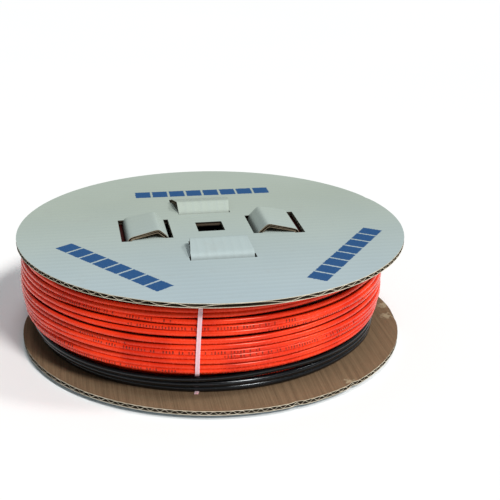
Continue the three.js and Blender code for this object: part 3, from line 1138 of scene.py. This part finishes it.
def add_band(build, line, closed):
    """A flat band with bevelled edges along a line in the strap's upright plane."""
    half = STRAP_WIDTH / 2
    thick = STRAP_THICKNESS / 2
    bevel = STRAP_BEVEL
    section = [
        (-half, -thick + bevel),
        (-half + bevel, -thick),
        (half - bevel, -thick),
        (half, -thick + bevel),
        (half, thick - bevel),
        (half - bevel, thick),
        (0.0, thick - STRAP_DISH),
        (-half + bevel, thick),
        (-half, thick - bevel),
    ]
    middle = (FLOOR_LEVEL + CEILING) / 2
    rings = []
    travelled = 0.0
    count = len(line)
    for i, spot in enumerate(line):
        before = line[i - 1] if closed or i else spot
        after = line[(i + 1) % count] if closed or i < count - 1 else spot
        onward = Vector((after[0] - before[0], after[1] - before[1])).normalized()
        normal = Vector((onward.y, -onward.x))
        if i:
            travelled += math.dist(spot, line[i - 1])
        ring = []
        for across, offset in section:
            flat = Vector(spot) + normal * offset
            lean = STRAP_AZIMUTH + STRAP_LEAN * (flat.y - middle)
            angle = lean + math.atan2(across, flat.x)
            laid = settle(math.hypot(flat.x, across), angle, flat.y)
            ring.append((build.point(*laid), travelled * MM, across * MM))
        rings.append(ring)
    pairs = list(zip(rings, rings[1:]))
    if closed:
        pairs.append((rings[-1], rings[0]))
    for first, second in pairs:
        for j in range(len(section)):
            k = (j + 1) % len(section)
            corners = (first[j], first[k], second[k], second[j])
            build.face([c[0] for c in corners], 0, [(c[1], c[2]) for c in corners])
    if not closed:
        build.face([c[0] for c in rings[0]][::-1])
        build.face([c[0] for c in rings[-1]])


def make_strap(material):
    """The band round the winding and its loose end on the lower flange."""
    build = Build()
    add_band(build, strap_loop(), closed=True)
    start = whole_row_radius(0)
    end = lead_turn_radius(0) + STRAP_TAIL_REACH
    steps = STRAP_TAIL_STEPS
    tail = [(lerp(start, end, i / steps), STRAP_LOW) for i in range(steps + 1)]
    add_band(build, tail, closed=False)
    return build.make("nylon_strap", [material])


# Scene

# Torn spots on the lower board: middle and size
TORN_PLACES = (
    ((0.1005, -0.1450, 0.0083), 0.0050),
    ((0.1715, -0.0180, 0.0083), 0.0065),
    ((0.1765, 0.0080, 0.0083), 0.0070),
    ((0.1700, 0.0330, 0.0083), 0.0050),
)
RED_GLEAM = (1.0, 0.5, 0.4)
BLACK_GLEAM = (0.9, 0.96, 1.0)


def make_floor():
    """A wide floor just clear of the reel's underside."""
    far = FLOOR_REACH
    square = ((-far, -far), (far, -far), (far, far), (-far, far))
    corners = [(x, y, -FLOOR_DROP) for x, y in square]
    return add_mesh("floor", corners, [(0, 1, 2, 3)], [floor_paint()])


place_camera()
light_studio()

white_top = white_liner("white_liner_printed", bars=True)
white_plain = white_liner("white_liner")
kraft = kraft_liner("kraft_liner", (0.17, 0.108, 0.06), (0.255, 0.172, 0.10), TORN_PLACES)
# A much darker copy of the kraft: painted shade on the papers inside the boards and the core, seen only
# through their voids.
shaded_inner_paper = kraft_liner("shaded_inner_paper", (0.05, 0.035, 0.022), (0.09, 0.068, 0.045))
edge_paper = cut_paper("cut_paper", (0.36, 0.30, 0.20), (0.92, 0.86, 0.70))
# A near-black copy of the cut paper: painted shade on the walls of the slots and the spindle hole.
shaded_slot_paper = cut_paper("shaded_slot_paper", (0.025, 0.018, 0.013), (0.085, 0.063, 0.045))
torn_paper = cut_paper("torn_paper", (0.12, 0.085, 0.055), (0.42, 0.34, 0.24))
red_sheath = cable_sheath(
    "red_sheath",
    dark=(0.70, 0.025, 0.006),
    light=(0.97, 0.052, 0.012),
    ink=(0.09, 0.005, 0.003),
    ink_share=0.95,
    roughness=0.25,
    tint=RED_GLEAM,
)
# A much darker copy of the red sheath: painted shade on the turns under the outermost layer.
shaded_red_sheath = cable_sheath(
    "shaded_red_sheath",
    dark=(0.09, 0.003, 0.002),
    light=(0.16, 0.006, 0.003),
    ink=(0.04, 0.002, 0.002),
    ink_share=0.5,
    roughness=0.5,
    tint=RED_GLEAM,
)
black_sheath = cable_sheath(
    "black_sheath",
    dark=(0.004, 0.005, 0.006),
    light=(0.008, 0.009, 0.011),
    ink=(0.05, 0.05, 0.06),
    ink_share=0.12,
    roughness=0.2,
    tint=BLACK_GLEAM,
)
strap_nylon = nylon("strap_nylon")

papers = [shaded_inner_paper, edge_paper, shaded_slot_paper]
top_board = board_disc("top_board", TOP_BASE, True, TOP_WEAR, [white_top, kraft, *papers])
dress(top_board, "top_board", "top_flange")
bottom_board = board_disc("bottom_board", BOTTOM_BASE, False, BOTTOM_WEAR, [kraft, white_plain, *papers])
dress(bottom_board, "bottom_board", "bottom_flange")
dress(make_core([white_plain, kraft, shaded_inner_paper, torn_paper]), "core_board", "core")
# The inner turns wear the darker sheath, painted shade between the outer turns.
dress(make_inner_turns(shaded_red_sheath), "red_sheath")
dress(tube("outer_turns", cable_path(), CABLE_RADIUS, 16, red_sheath), "red_sheath", "heating_cable")
dress(tube("lead_turns", lead_path(), LEAD_RADIUS, 14, black_sheath), "black_sheath", "cold_lead")
dress(make_strap(strap_nylon), "nylon", "strap")

make_floor()
